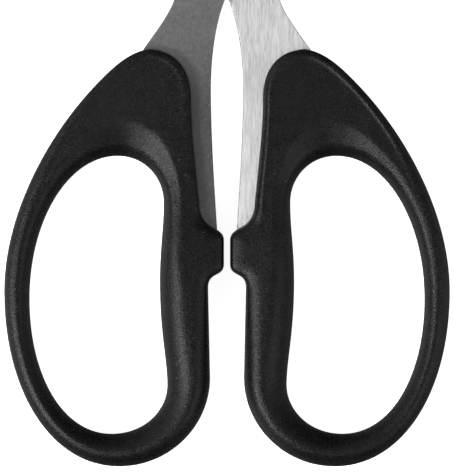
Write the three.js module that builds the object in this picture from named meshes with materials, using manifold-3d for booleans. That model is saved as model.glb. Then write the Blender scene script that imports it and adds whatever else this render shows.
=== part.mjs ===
// Fabric shears: two steel blades on a slotted pivot screw, each with a moulded bow handle on its tang.
// Millimetres, +Z up, +Y towards the tips. The origin is on the pivot axis, at the flat underside of the
// pivot nut, and the shears are nearly closed. The front half is the upper blade with the left bow. The
// rear half is the same shape turned half a turn about the long axis.

import * as THREE from 'three';
import { mergeVertices } from 'three/addons/utils/BufferGeometryUtils.js';
import Module from 'manifold-3d';

const wasm = await Module();
wasm.setup();

// ---- Driving dimensions ----

// Blades. Heights are above the underside of the nut.
const MID_PLANE = 5.0;               // where the inner faces of the two blades meet
const BLADE_THICKNESS = 1.8;
const BLADE_GAP = 0.1;               // between the inner faces
const BLADE_BOTTOM = MID_PLANE + BLADE_GAP / 2;
const BLADE_TOP = BLADE_BOTTOM + BLADE_THICKNESS;
const EDGE_HEEL = new THREE.Vector2(-5.4, 10.0);
const EDGE_TIP = new THREE.Vector2(0.4, 112.6);
const GRIND_WIDTH = 4.5;             // wide bevel on the outer face, along the cutting edge
const GRIND_DEPTH = 0.9;
const BEVEL_WIDTH = 0.7;             // narrow, steep bevel that leaves the cutting edge
const EDGE_LAND = 0.06;              // thickness left at the very edge
const TIP_THINNING = 0.6;            // how much thinner the blade is at its tip
const THINNING_START = 18.0;

// Pivot
const SCREW_RADIUS = 3.0;
const PIVOT_HOLE_RADIUS = 3.05;
const SCREW_HEAD_RADIUS = 5.0;
const SCREW_HEAD_RIM = 0.9;          // height of the head's straight side
const SCREW_HEAD_HEIGHT = 1.9;
const SLOT_WIDTH = 1.3;
const SLOT_DEPTH = 1.0;
const SLOT_TURN = 62;                // degrees from +X, as the screw happens to stand
const DOME_PARTS = [1.0, 0.92, 0.75, 0.5, 0.25]; // radii of the dome's corners, as parts of the head's
const THREAD_RADIUS = 2.0;
const SCREW_END_GAP = 0.2;           // between the screw's end and the floor of the nut's bore
const WASHER_BORE_RADIUS = 3.1;
const HEAD_WASHER_RADIUS = 5.6;
const HEAD_WASHER_THICKNESS = 0.5;
const BEARING_RADIUS = 5.8;
const BEARING_THICKNESS = 0.5;
const RECESS_RADIUS = 6.0;
const RECESS_DEPTH = 0.25;
const SPRING_RADIUS = 5.25;
const SPRING_THICKNESS = 0.28;
const SPRING_LIFT = 0.25;            // height of the spring washer's cone
const NUT_RADIUS = 5.6;
const NUT_FLOOR = 0.7;               // closed bottom under the nut's blind bore
const NUT_BORE_RADIUS = 2.1;
const NUT_EDGE = 0.4;                // chamfer around the underside
const SPANNER_HOLE_RADIUS = 0.8;
const SPANNER_HOLE_DEPTH = 1.0;
const SPANNER_HOLE_OFFSET = 3.7;
const STACK_GAP = 0.03;              // between the parts that are stacked on the screw

// Handles
const MOULDING_GAP = 0.3;            // between the tang and the handle moulded on it
const LEAST_HALF_HEIGHT = 0.02;      // of the flat left where a bow's rim is round all over
const STOP_FACE = -0.55;             // x of the stop block's flat face
const CURVE_STEPS = 14;              // straight pieces in each curved stretch of an outline
const STATIONS_PER_STRETCH = 6;      // sections through the bow between two design stations
const ROUND_STEPS = 4;               // straight pieces in each rounded edge of a section

const CUT_BEYOND = 2.0;              // how far a cutting shape runs past what it cuts

// Heights that follow from the above
const WASHER_BOTTOM = BLADE_TOP + STACK_GAP;
const HEAD_BOTTOM = WASHER_BOTTOM + HEAD_WASHER_THICKNESS + STACK_GAP;
const REAR_BLADE_BOTTOM = 2 * MID_PLANE - BLADE_TOP;
const SPRING_TOP = REAR_BLADE_BOTTOM - STACK_GAP;
const NUT_TOP = SPRING_TOP - SPRING_THICKNESS - SPRING_LIFT - STACK_GAP;

// ---- Materials ----

const MATERIALS = {
  steel: { color: 0x9a999b, roughness: 0.42, metalness: 1.0 },
  plastic: { color: 0x0d0d0e, roughness: 0.48, metalness: 0.0 },
  screwSteel: { color: 0xb4b4b8, roughness: 0.3, metalness: 1.0 },
  springSteel: { color: 0x77777c, roughness: 0.35, metalness: 1.0 },
  nylon: { color: 0xe9e6dc, roughness: 0.55, metalness: 0.0 },
};

// ---- Solids ----

/** The geometry as a manifold solid, moved by the matrix if one is given. */
function toSolid(geometry, matrix = new THREE.Matrix4()) {
  const shell = geometry.clone().applyMatrix4(matrix);
  shell.deleteAttribute('normal');
  shell.deleteAttribute('uv');
  const merged = mergeVertices(shell, 1e-5);
  return new wasm.Manifold(new wasm.Mesh({
    numProp: 3,
    vertProperties: new Float32Array(merged.attributes.position.array),
    triVerts: new Uint32Array(merged.index.array),
  }));
}

function toGeometry(manifold) {
  const mesh = manifold.getMesh();
  const geometry = new THREE.BufferGeometry();
  geometry.setAttribute('position', new THREE.BufferAttribute(new Float32Array(mesh.vertProperties), 3));
  geometry.setIndex(new THREE.BufferAttribute(new Uint32Array(mesh.triVerts), 1));
  geometry.computeVertexNormals();
  return geometry;
}

/** A flat plate of the outline, from one height to another. */
function plate(shape, bottom, top) {
  const geometry = new THREE.ExtrudeGeometry(shape, {
    depth: top - bottom,
    bevelEnabled: false,
    curveSegments: CURVE_STEPS,
  });
  return toSolid(geometry, new THREE.Matrix4().makeTranslation(0, 0, bottom));
}

/** A solid of revolution about the pivot axis, from a closed list of [radius, height]. */
function turned(profile, segments = 32) {
  const points = [...profile, profile[0]].map(([radius, height]) => new THREE.Vector2(radius, height));
  return toSolid(new THREE.LatheGeometry(points, segments).rotateX(Math.PI / 2));
}

/** A solid of revolution whose profile starts and ends on the axis. */
function turnedCore(profile, segments = 32) {
  const points = profile.map(([radius, height]) => new THREE.Vector2(radius, height));
  return toSolid(new THREE.LatheGeometry(points, segments).rotateX(Math.PI / 2));
}

function disc(radius, bottom, top, x = 0, y = 0, segments = 40) {
  const geometry = new THREE.CylinderGeometry(radius, radius, top - bottom, segments).rotateX(Math.PI / 2);
  return toSolid(geometry, new THREE.Matrix4().makeTranslation(x, y, (bottom + top) / 2));
}

// ---- Outlines, all of the front half ----

/** Adds a round hole to a shape. */
function pierce(shape, x, y, radius) {
  const hole = new THREE.Path();
  hole.absarc(x, y, radius, 0, 2 * Math.PI, true);
  shape.holes.push(hole);
}

// Holes in the tang that the handle's plastic runs through: [x, y, radius]
const LOCKING_HOLES = [
  [-10.6, -29.4, 2.0],
  [-7.1, -67.5, 1.3],
];

/** The blade, its shank and its tang, from the end of the tang up one side and down the other. */
function bladeOutline() {
  const outline = new THREE.Shape();
  // the tang's end, its side inside the bow's bar, and the step up to the shank's inner edge
  outline.moveTo(-9.2, -70.5);
  outline.bezierCurveTo(-9.2, -73.4, -5.0, -73.4, -5.0, -70.5);
  outline.lineTo(-4.8, -62.5);
  outline.bezierCurveTo(-4.6, -58.2, -1.9, -58.8, -1.78, -54.6);
  // the shank's inner edge, then across the pivot to the spine
  outline.bezierCurveTo(-2.5, -44.0, -2.9, -36.0, -2.9, -29.5);
  outline.bezierCurveTo(-2.9, -22.5, -1.7, -16.0, 0.1, -12.3);
  outline.bezierCurveTo(2.0, -8.6, 9.0, -8.4, 9.2, 1.0);
  // the spine and the rounded tip
  outline.bezierCurveTo(9.5, 40.0, 7.0, 80.0, 2.7, 108.2);
  outline.bezierCurveTo(2.2, 111.5, 1.4, 113.2, 0.4, 112.6);
  // the cutting edge, the heel, and the shank's outer edge
  outline.lineTo(EDGE_HEEL.x, EDGE_HEEL.y);
  outline.bezierCurveTo(-5.6, 6.2, -8.9, 5.4, -8.9, -1.0);
  outline.bezierCurveTo(-8.9, -6.0, -8.6, -10.0, -9.64, -13.7);
  outline.bezierCurveTo(-10.2, -15.6, -12.9, -19.4, -14.9, -22.1);
  // the tang's other side, inside the bow
  outline.bezierCurveTo(-17.2, -25.6, -10.0, -31.0, -9.6, -40.0);
  outline.closePath();
  return outline;
}

/** The finger hole: bottom, low bulge, neck, high bulge, top, outer side. */
function holeOutline() {
  const hole = new THREE.Path();
  hole.moveTo(-20.8, -91.5);
  hole.bezierCurveTo(-14.6, -91.5, -10.7, -87.0, -10.75, -82.6);
  hole.bezierCurveTo(-10.8, -77.8, -12.1, -73.5, -12.1, -64.0);
  hole.bezierCurveTo(-12.1, -58.0, -11.4, -54.6, -11.4, -49.9);
  hole.bezierCurveTo(-11.4, -45.4, -14.8, -41.5, -19.7, -41.5);
  hole.bezierCurveTo(-28.6, -41.5, -35.55, -53.1, -35.55, -67.2);
  hole.bezierCurveTo(-35.55, -81.0, -29.6, -91.5, -20.8, -91.5);
  return hole;
}

/** The bow's outer edge: bottom, bar, stop block, seam beside the shank, two for the shoulder, side. */
function rimOutline() {
  const rim = new THREE.Path();
  rim.moveTo(-19.4, -97.4);
  rim.bezierCurveTo(-10.2, -97.4, -3.1, -90.0, -3.05, -81.6);
  rim.lineTo(-3.4, -65.4);
  rim.bezierCurveTo(-3.5, -62.2, STOP_FACE, -63.4, STOP_FACE, -61.0);
  rim.lineTo(STOP_FACE, -56.7);
  rim.bezierCurveTo(STOP_FACE, -53.8, -4.9, -55.3, -5.0, -49.6);
  rim.bezierCurveTo(-5.6, -43.6, -6.45, -37.0, -6.45, -31.5);
  rim.bezierCurveTo(-6.35, -26.2, -8.9, -22.6, -14.0, -22.35);
  rim.bezierCurveTo(-16.6, -22.7, -18.9, -24.3, -20.9, -26.15);
  rim.bezierCurveTo(-31.9, -36.4, -40.1, -51.9, -40.1, -65.9);
  rim.bezierCurveTo(-40.1, -84.0, -31.6, -97.4, -19.4, -97.4);
  return rim;
}

// ---- Handles ----

// Design stations around the bow. rim and hole say where the station meets each outline: the number of
// the curved stretch, and how far along it. crest is the bow's half thickness on the finger-hole side
// and rimCrest on the rim side. roll is the width of the rounded edge around the finger hole, and edge
// that of the rim's, which is rounded over the height rise.
const BOW_STATIONS = [
  { rim: 0.0, hole: 0.0, crest: 3.8, rimCrest: 3.8, roll: 3.1, edge: 2.6, rise: 3.8 },
  { rim: 1.0, hole: 1.0, crest: 4.7, rimCrest: 4.7, roll: 4.7, edge: 2.9, rise: 4.6 },
  { rim: 2.0, hole: 1.9, crest: 5.0, rimCrest: 4.9, roll: 5.2, edge: 3.0, rise: 3.6 },
  { rim: 3.0, hole: 2.2, crest: 5.0, rimCrest: 4.5, roll: 5.4, edge: 1.3, rise: 1.4 },
  { rim: 4.0, hole: 2.5, crest: 4.9, rimCrest: 4.4, roll: 5.3, edge: 1.3, rise: 1.4 },
  { rim: 5.0, hole: 3.0, crest: 4.6, rimCrest: 4.3, roll: 4.6, edge: 1.3, rise: 1.3 },
  { rim: 6.0, hole: 3.45, crest: 4.3, rimCrest: 4.2, roll: 7.4, edge: 1.3, rise: 1.3 },
  { rim: 7.0, hole: 3.9, crest: 4.2, rimCrest: 4.2, roll: 8.0, edge: 1.3, rise: 1.3 },
  { rim: 8.0, hole: 4.03, crest: 4.2, rimCrest: 4.2, roll: 8.0, edge: 1.3, rise: 1.5 },
  { rim: 8.4, hole: 4.3, crest: 4.1, rimCrest: 4.1, roll: 4.6, edge: 1.5, rise: 2.4 },
  { rim: 9.0, hole: 5.0, crest: 3.7, rimCrest: 3.7, roll: 1.9, edge: 2.5, rise: 3.5 },
  { rim: 10.0, hole: 6.0, crest: 3.8, rimCrest: 3.8, roll: 3.1, edge: 2.6, rise: 3.8 },
];

/** The point at a place such as 3.45: 0.45 of the way along stretch 3 of the path. */
function pointAt(path, place) {
  const stretch = Math.min(Math.floor(place), path.curves.length - 1);
  return path.curves[stretch].getPointAt(place - stretch);
}

/** One closed section through the bow: up the finger-hole side, over, and down the rim side. */
function bowSection(station, holePath, rimPath) {
  const inner = pointAt(holePath, station.hole);
  const outer = pointAt(rimPath, station.rim);
  const across = outer.clone().sub(inner).normalize();
  const section = [];
  for (let step = -ROUND_STEPS; step <= ROUND_STEPS; step += 1) {
    const angle = (step / ROUND_STEPS) * (Math.PI / 2);
    const inward = station.roll * (1 - Math.cos(angle));
    const point = inner.clone().addScaledVector(across, inward);
    section.push([point.x, point.y, MID_PLANE + station.crest * Math.sin(angle)]);
  }
  for (const side of [1, -1]) {
    for (let step = 0; step <= ROUND_STEPS; step += 1) {
      const turn = side > 0 ? ROUND_STEPS - step : step;
      const angle = (turn / ROUND_STEPS) * (Math.PI / 2);
      const point = outer.clone().addScaledVector(across, -station.edge * (1 - Math.cos(angle)));
      const height = station.rimCrest - station.rise * (1 - Math.sin(angle));
      section.push([point.x, point.y, MID_PLANE + side * Math.max(height, LEAST_HALF_HEIGHT)]);
    }
  }
  return section;
}

/** Every station of the bow: the design stations with even steps between them. */
function bowStations() {
  const stations = [];
  for (let index = 0; index + 1 < BOW_STATIONS.length; index += 1) {
    for (let step = 0; step < STATIONS_PER_STRETCH; step += 1) {
      const blend = step / STATIONS_PER_STRETCH;
      const station = {};
      for (const key of Object.keys(BOW_STATIONS[index])) {
        station[key] = THREE.MathUtils.lerp(BOW_STATIONS[index][key], BOW_STATIONS[index + 1][key], blend);
      }
      stations.push(station);
    }
  }
  return stations;
}

/** The bow as a ring of sections. */
function bowRing() {
  const holePath = holeOutline();
  const rimPath = rimOutline();
  const sections = bowStations().map((station) => bowSection(station, holePath, rimPath));
  const around = sections.length;
  const count = sections[0].length;
  const indices = [];
  for (let i = 0; i < around; i += 1) {
    for (let j = 0; j < count; j += 1) {
      const here = i * count + j;
      const up = i * count + ((j + 1) % count);
      const next = ((i + 1) % around) * count + j;
      const nextUp = ((i + 1) % around) * count + ((j + 1) % count);
      indices.push(here, up, next, up, nextUp, next);
    }
  }
  const geometry = new THREE.BufferGeometry();
  geometry.setAttribute('position', new THREE.Float32BufferAttribute(sections.flat(2), 3));
  geometry.setIndex(indices);
  return toSolid(geometry);
}

/** The outline moved outward by a distance all the way round, as a polygon. */
function grown(outline, distance) {
  const points = outline.getPoints(CURVE_STEPS).filter((point, index, all) => (
    point.distanceTo(all[(index + 1) % all.length]) > 1e-6
  ));
  const moved = points.map((point, index) => {
    const before = points[(index + points.length - 1) % points.length];
    const after = points[(index + 1) % points.length];
    const along = after.clone().sub(before).normalize();
    return new THREE.Vector2(point.x + along.y * distance, point.y - along.x * distance);
  });
  return new THREE.Shape(moved);
}

/** The space that the tang takes in the bow, with the posts that run through its holes left out. */
function tangPocket() {
  const space = grown(bladeOutline(), MOULDING_GAP);
  for (const [x, y, radius] of LOCKING_HOLES) {
    pierce(space, x, y, radius - MOULDING_GAP);
  }
  return plate(space, BLADE_BOTTOM - MOULDING_GAP, BLADE_TOP + MOULDING_GAP);
}

function handle() {
  return bowRing().subtract(tangPocket());
}

// ---- Blades ----

/** A long wedge over the outer face, along the cutting edge. The line from (0, low) to (width, high) is
 * its sloping underside, seen along the edge, with width measured from the edge into the blade. */
function edgeWedge(width, low, high) {
  const slope = (high - low) / width;
  const ceiling = high + CUT_BEYOND;
  const section = new THREE.Shape([
    new THREE.Vector2(-CUT_BEYOND, low - CUT_BEYOND * slope),
    new THREE.Vector2((ceiling - low) / slope, ceiling),
    new THREE.Vector2(-CUT_BEYOND, ceiling),
  ]);
  const along = EDGE_TIP.clone().sub(EDGE_HEEL);
  const run = along.length() + 2 * CUT_BEYOND;
  along.normalize();
  const start = EDGE_TIP.clone().addScaledVector(along, 2 * CUT_BEYOND);
  const geometry = new THREE.ExtrudeGeometry(section, { depth: run, bevelEnabled: false });
  const matrix = new THREE.Matrix4().makeBasis(
    new THREE.Vector3(along.y, -along.x, 0),
    new THREE.Vector3(0, 0, 1),
    new THREE.Vector3(-along.x, -along.y, 0),
  );
  matrix.setPosition(start.x, start.y, 0);
  return toSolid(geometry, matrix);
}

/** A wedge that thins the blade's outer face evenly towards the tip. */
function tipWedge() {
  const end = EDGE_TIP.y + CUT_BEYOND;
  const drop = TIP_THINNING * (end - THINNING_START) / (EDGE_TIP.y - THINNING_START);
  const section = new THREE.Shape([
    new THREE.Vector2(THINNING_START, BLADE_TOP),
    new THREE.Vector2(end, BLADE_TOP - drop),
    new THREE.Vector2(end, BLADE_TOP + CUT_BEYOND),
    new THREE.Vector2(THINNING_START, BLADE_TOP + CUT_BEYOND),
  ]);
  const width = 40;
  const geometry = new THREE.ExtrudeGeometry(section, { depth: width, bevelEnabled: false });
  const matrix = new THREE.Matrix4().makeBasis(
    new THREE.Vector3(0, 1, 0),
    new THREE.Vector3(0, 0, 1),
    new THREE.Vector3(1, 0, 0),
  );
  matrix.setPosition(-width / 2, 0, 0);
  return toSolid(geometry, matrix);
}

function blade() {
  const outline = bladeOutline();
  pierce(outline, 0, 0, PIVOT_HOLE_RADIUS);
  for (const [x, y, radius] of LOCKING_HOLES) {
    pierce(outline, x, y, radius);
  }
  const recess = disc(RECESS_RADIUS, BLADE_BOTTOM - CUT_BEYOND, BLADE_BOTTOM + RECESS_DEPTH);
  return plate(outline, BLADE_BOTTOM, BLADE_TOP)
    .subtract(recess)
    .subtract(tipWedge())
    .subtract(edgeWedge(GRIND_WIDTH, BLADE_TOP - GRIND_DEPTH, BLADE_TOP))
    .subtract(edgeWedge(BEVEL_WIDTH, BLADE_BOTTOM + EDGE_LAND, BLADE_TOP - GRIND_DEPTH));
}

// ---- Pivot ----

function pivotScrew() {
  const headSide = HEAD_BOTTOM + SCREW_HEAD_RIM;
  const headTop = HEAD_BOTTOM + SCREW_HEAD_HEIGHT;
  const dome = DOME_PARTS.map((part) => (
    [SCREW_HEAD_RADIUS * part, headSide + (headTop - headSide) * Math.sqrt(1 - part * part)]
  ));
  const screw = turnedCore([
    [0, NUT_FLOOR + SCREW_END_GAP],
    [THREAD_RADIUS, NUT_FLOOR + SCREW_END_GAP],
    [THREAD_RADIUS, NUT_TOP + STACK_GAP],
    [SCREW_RADIUS, NUT_TOP + STACK_GAP],
    [SCREW_RADIUS, HEAD_BOTTOM],
    [SCREW_HEAD_RADIUS, HEAD_BOTTOM],
    ...dome,
    [0, headTop],
  ]);
  const slot = new THREE.BoxGeometry(4 * SCREW_HEAD_RADIUS, SLOT_WIDTH, 2 * SLOT_DEPTH);
  const place = new THREE.Matrix4().makeRotationZ(THREE.MathUtils.degToRad(SLOT_TURN));
  place.setPosition(0, 0, headTop);
  return screw.subtract(toSolid(slot, place));
}

/** A flat washer. */
function washer(radius, bottom, thickness) {
  return turned([
    [WASHER_BORE_RADIUS, bottom],
    [radius, bottom],
    [radius, bottom + thickness],
    [WASHER_BORE_RADIUS, bottom + thickness],
  ]);
}

/** A conical washer, high at its bore and low at its rim. */
function springWasher() {
  const rimBottom = SPRING_TOP - SPRING_THICKNESS - SPRING_LIFT;
  return turned([
    [WASHER_BORE_RADIUS, rimBottom + SPRING_LIFT],
    [SPRING_RADIUS, rimBottom],
    [SPRING_RADIUS, rimBottom + SPRING_THICKNESS],
    [WASHER_BORE_RADIUS, SPRING_TOP],
  ]);
}

function pivotNut() {
  const body = turnedCore([
    [0, 0],
    [NUT_RADIUS - NUT_EDGE, 0],
    [NUT_RADIUS, NUT_EDGE],
    [NUT_RADIUS, NUT_TOP],
    [NUT_BORE_RADIUS, NUT_TOP],
    [NUT_BORE_RADIUS, NUT_FLOOR],
    [0, NUT_FLOOR],
  ]);
  const spannerHole = (x) => disc(SPANNER_HOLE_RADIUS, -CUT_BEYOND, SPANNER_HOLE_DEPTH, x, 0, 20);
  return body.subtract(spannerHole(SPANNER_HOLE_OFFSET)).subtract(spannerHole(-SPANNER_HOLE_OFFSET));
}

// ---- Assembly ----

function piece(name, solid, look) {
  const mesh = new THREE.Mesh(toGeometry(solid), new THREE.MeshStandardMaterial(look));
  mesh.name = name;
  return mesh;
}

const frontHalf = new THREE.Group();
frontHalf.add(
  piece('blade_front', blade(), MATERIALS.steel),
  piece('handle_left', handle(), MATERIALS.plastic),
);

const rearHalf = new THREE.Group();
rearHalf.position.z = 2 * MID_PLANE;
rearHalf.rotation.y = Math.PI;
rearHalf.add(
  piece('blade_rear', blade(), MATERIALS.steel),
  piece('handle_right', handle(), MATERIALS.plastic),
);

const pivot = new THREE.Group();
pivot.add(
  piece('pivot_screw', pivotScrew(), MATERIALS.screwSteel),
  piece('head_washer', washer(HEAD_WASHER_RADIUS, WASHER_BOTTOM, HEAD_WASHER_THICKNESS),
    MATERIALS.screwSteel),
  piece('bearing_washer', washer(BEARING_RADIUS, MID_PLANE - BEARING_THICKNESS / 2, BEARING_THICKNESS),
    MATERIALS.nylon),
  piece('spring_washer', springWasher(), MATERIALS.springSteel),
  piece('pivot_nut', pivotNut(), MATERIALS.screwSteel),
);

const shears = new THREE.Group();
shears.add(frontHalf, rearHalf, pivot);

export default shears;
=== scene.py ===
"""The looks of the fabric shears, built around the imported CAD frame.

Outlines are in millimetres, in the CAD's own frame: +Y towards the tips, +Z up, pivot axis on Z. They
describe the front half, and the rear half is the same shape turned half a turn about the long axis.
"""
import math

import bmesh
import bpy
import numpy as np
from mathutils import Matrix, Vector
from mathutils.kdtree import KDTree


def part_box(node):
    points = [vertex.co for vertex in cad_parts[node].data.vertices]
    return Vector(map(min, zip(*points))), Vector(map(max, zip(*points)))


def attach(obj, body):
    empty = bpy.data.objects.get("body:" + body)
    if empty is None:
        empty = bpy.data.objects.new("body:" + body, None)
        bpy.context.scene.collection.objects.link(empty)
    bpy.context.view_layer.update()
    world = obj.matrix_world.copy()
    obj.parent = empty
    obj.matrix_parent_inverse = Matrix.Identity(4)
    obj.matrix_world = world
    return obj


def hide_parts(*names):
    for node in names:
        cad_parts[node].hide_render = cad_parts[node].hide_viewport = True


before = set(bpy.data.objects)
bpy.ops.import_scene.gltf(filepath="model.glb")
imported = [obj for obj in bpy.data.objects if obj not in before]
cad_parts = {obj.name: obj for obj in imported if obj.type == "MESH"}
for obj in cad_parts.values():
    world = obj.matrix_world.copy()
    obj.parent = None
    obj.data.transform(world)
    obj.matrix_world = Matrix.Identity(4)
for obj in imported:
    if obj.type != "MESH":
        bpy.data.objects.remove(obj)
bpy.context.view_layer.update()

MM = 0.001


def levels(node):
    """The lowest and highest corners of a CAD node, in millimetres."""
    low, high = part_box(node)
    return np.array(low) / MM, np.array(high) / MM


# ---- Sizes, from the frame ----

BLADE_LOW, BLADE_HIGH = levels("blade_front")
REAR_LOW, _ = levels("blade_rear")
BOW_LOW, BOW_HIGH = levels("handle_left")
SCREW_LOW, SCREW_HIGH = levels("pivot_screw")
_, HEAD_WASHER_HIGH = levels("head_washer")
_, NUT_HIGH = levels("pivot_nut")
MID_PLANE = (BLADE_HIGH[2] + REAR_LOW[2]) / 2

# ---- Camera ----

VIEW_DISTANCE = 0.8          # metres from the camera down to the shears
VIEW_HEIGHT = 85.0           # millimetres of the shears that the picture's height takes in
VIEW_MARGIN = 1.0            # millimetres of floor under the bows
SENSOR = 36.0                # millimetres, along the picture's long side

camera_data = bpy.data.cameras.new("camera")
camera_data.sensor_width = SENSOR
camera_data.lens = SENSOR * VIEW_DISTANCE / (VIEW_HEIGHT * MM)
camera = bpy.data.objects.new("camera", camera_data)
camera.location = (
    0.0,
    (BOW_LOW[1] - VIEW_MARGIN + VIEW_HEIGHT / 2) * MM,
    VIEW_DISTANCE + MID_PLANE * MM,
)
bpy.context.collection.objects.link(camera)
bpy.context.scene.camera = camera

# ---- Outlines ----

LENGTH_SAMPLES = 600         # points by which distances along a stretch are measured
SPAN_SAMPLES = 60            # points by which a whole stretch's length is measured


def outline(start, *stretches):
    """A closed outline as cubic stretches. A stretch is (end,) if straight, else two handles and an end."""
    here = np.array(start, float)
    cubics = []
    for stretch in stretches:
        end = np.array(stretch[-1], float)
        if len(stretch) == 1:
            first, second = here + (end - here) / 3, end - (end - here) / 3
        else:
            first, second = np.array(stretch[0], float), np.array(stretch[1], float)
        cubics.append(np.array([here, first, second, end]))
        here = end
    return cubics


def along(cubic, fractions):
    """The points at the given fractions of a stretch's length."""
    t = np.linspace(0, 1, LENGTH_SAMPLES)[:, None]
    start, first, second, end = cubic
    points = (
        (1 - t) ** 3 * start
        + 3 * (1 - t) ** 2 * t * first
        + 3 * (1 - t) * t ** 2 * second
        + t ** 3 * end
    )
    steps = np.linalg.norm(np.diff(points, axis=0), axis=1)
    length = np.concatenate([[0], np.cumsum(steps)])
    wanted = np.asarray(fractions) * length[-1]
    return np.stack([np.interp(wanted, length, points[:, axis]) for axis in (0, 1)], axis=1)


def line_length(points):
    """The length of the line through some points."""
    return np.linalg.norm(np.diff(points, axis=0), axis=1).sum()


def point_count(cubic, spacing):
    """How many points about the given distance apart a stretch takes."""
    length = line_length(along(cubic, np.linspace(0, 1, SPAN_SAMPLES)))
    return max(1, round(length / spacing))


def polygon(cubics, spacing):
    """The outline as points about the given distance apart."""
    runs = []
    for cubic in cubics:
        count = point_count(cubic, spacing)
        runs.append(along(cubic, np.arange(count) / count))
    return np.concatenate(runs)


def at_places(cubics, places):
    """The points at places such as 3.45: 0.45 of the way along stretch 3."""
    stretch = np.minimum(places.astype(int), len(cubics) - 1)
    points = np.empty((len(places), 2))
    for number, cubic in enumerate(cubics):
        here = stretch == number
        points[here] = along(cubic, places[here] - number)
    return points


STOP_FACE = BOW_HIGH[0]      # the flat face where the two bows' stop blocks meet

# The finger hole: bottom, low bulge, neck, high bulge, top, outer side
HOLE = outline(
    (-20.8, -91.5),
    ((-14.6, -91.5), (-10.7, -87.0), (-10.75, -82.6)),
    ((-10.8, -77.8), (-12.1, -73.5), (-12.1, -64.0)),
    ((-12.1, -58.0), (-11.4, -54.6), (-11.4, -49.9)),
    ((-11.4, -45.4), (-14.8, -41.5), (-19.7, -41.5)),
    ((-28.6, -41.5), (-35.55, -53.1), (-35.55, -67.2)),
    ((-35.55, -81.0), (-29.6, -91.5), (-20.8, -91.5)),
)

# The bow's outer edge: bottom, bar, stop block, seam beside the shank, two for the shoulder, outer side
RIM = outline(
    (-19.4, -97.4),
    ((-10.2, -97.4), (-3.1, -90.0), (-3.05, -81.6)),
    ((-3.4, -65.4),),
    ((-3.5, -62.2), (STOP_FACE, -63.4), (STOP_FACE, -61.0)),
    ((STOP_FACE, -56.7),),
    ((STOP_FACE, -53.8), (-4.9, -55.3), (-5.0, -49.6)),
    ((-5.6, -43.6), (-6.45, -37.0), (-6.45, -31.5)),
    ((-6.35, -26.2), (-8.9, -22.6), (-14.0, -22.35)),
    ((-16.6, -22.7), (-18.9, -24.3), (-20.9, -26.15)),
    ((-31.9, -36.4), (-40.1, -51.9), (-40.1, -65.9)),
    ((-40.1, -84.0), (-31.6, -97.4), (-19.4, -97.4)),
)

# The blade with its shank and tang, up one side and down the other
EDGE_HEEL = np.array([-5.4, 10.0])
EDGE_TIP = np.array([0.4, 112.6])
BLADE = outline(
    (-9.2, -70.5),
    ((-9.2, -73.4), (-5.0, -73.4), (-5.0, -70.5)),
    ((-4.8, -62.5),),
    ((-4.6, -58.2), (-1.9, -58.8), (-1.78, -54.6)),
    ((-2.5, -44.0), (-2.9, -36.0), (-2.9, -29.5)),
    ((-2.9, -22.5), (-1.7, -16.0), (0.1, -12.3)),
    ((2.0, -8.6), (9.0, -8.4), (9.2, 1.0)),
    ((9.5, 40.0), (7.0, 80.0), (2.7, 108.2)),
    ((2.2, 111.5), (1.4, 113.2), EDGE_TIP),
    (EDGE_HEEL,),
    ((-5.6, 6.2), (-8.9, 5.4), (-8.9, -1.0)),
    ((-8.9, -6.0), (-8.6, -10.0), (-9.64, -13.7)),
    ((-10.2, -15.6), (-12.9, -19.4), (-14.9, -22.1)),
    ((-17.2, -25.6), (-10.0, -31.0), (-9.6, -40.0)),
    ((-9.2, -70.5),),
)
CUTTING_STRETCH = 8          # the number of the cutting edge among the blade's stretches

# ---- Meshes ----

ROUND_SEGMENTS = 96
ON_AXIS = 1e-9               # a smaller radius is a point on the axis
ROUNDINGS_PER_SIDE = 2.2     # how many times its corners' rounding each side of a profile must hold
CUT_BELOW = -1               # the heights between which a cutter goes through everything
CUT_ABOVE = 20


def new_piece(name, points, faces, material):
    """An object from points in millimetres."""
    mesh = bpy.data.meshes.new(name)
    mesh.from_pydata([tuple(point) for point in np.asarray(points) * MM], [], faces)
    build = bmesh.new()
    build.from_mesh(mesh)
    bmesh.ops.recalc_face_normals(build, faces=build.faces)
    build.to_mesh(mesh)
    build.free()
    mesh.materials.append(material)
    piece = bpy.data.objects.new(name, mesh)
    bpy.context.collection.objects.link(piece)
    return piece


def shade(piece, sharp_degrees):
    """Smooth shading, apart from the edges that turn by more than the angle."""
    build = bmesh.new()
    build.from_mesh(piece.data)
    for face in build.faces:
        face.smooth = True
    for edge in build.edges:
        turn = edge.calc_face_angle(0.0)
        edge.smooth = turn < math.radians(sharp_degrees)
    build.to_mesh(piece.data)
    build.free()


def cut(piece, *cutters):
    """Takes the cutters' shapes out of a piece, and deletes them."""
    for cutter in cutters:
        modifier = piece.modifiers.new("cut", "BOOLEAN")
        modifier.operation = "DIFFERENCE"
        modifier.solver = "EXACT"
        modifier.object = cutter
    settle(piece)
    for cutter in cutters:
        bpy.data.objects.remove(cutter)


def settle(piece):
    """Makes the result of a piece's modifiers its own mesh."""
    bpy.context.view_layer.update()
    graph = bpy.context.evaluated_depsgraph_get()
    mesh = bpy.data.meshes.new_from_object(piece.evaluated_get(graph))
    piece.modifiers.clear()
    piece.data = mesh


def turned_over(points):
    """Half a turn about the long axis, which takes the front half to the rear half."""
    points = np.array(points, float)
    points[:, 0] *= -1
    points[:, 2] = 2 * MID_PLANE - points[:, 2]
    return points


def stack(name, rings, material):
    """A closed solid from a stack of rings of points, with a flat cap at each end."""
    count = len(rings[0])
    faces = [tuple(range(count)), tuple(range((len(rings) - 1) * count, len(rings) * count))]
    for level in range(len(rings) - 1):
        for index in range(count):
            after = (index + 1) % count
            low, high = level * count, (level + 1) * count
            faces.append((low + index, low + after, high + after, high + index))
    return new_piece(name, np.concatenate(rings), faces, material)


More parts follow.
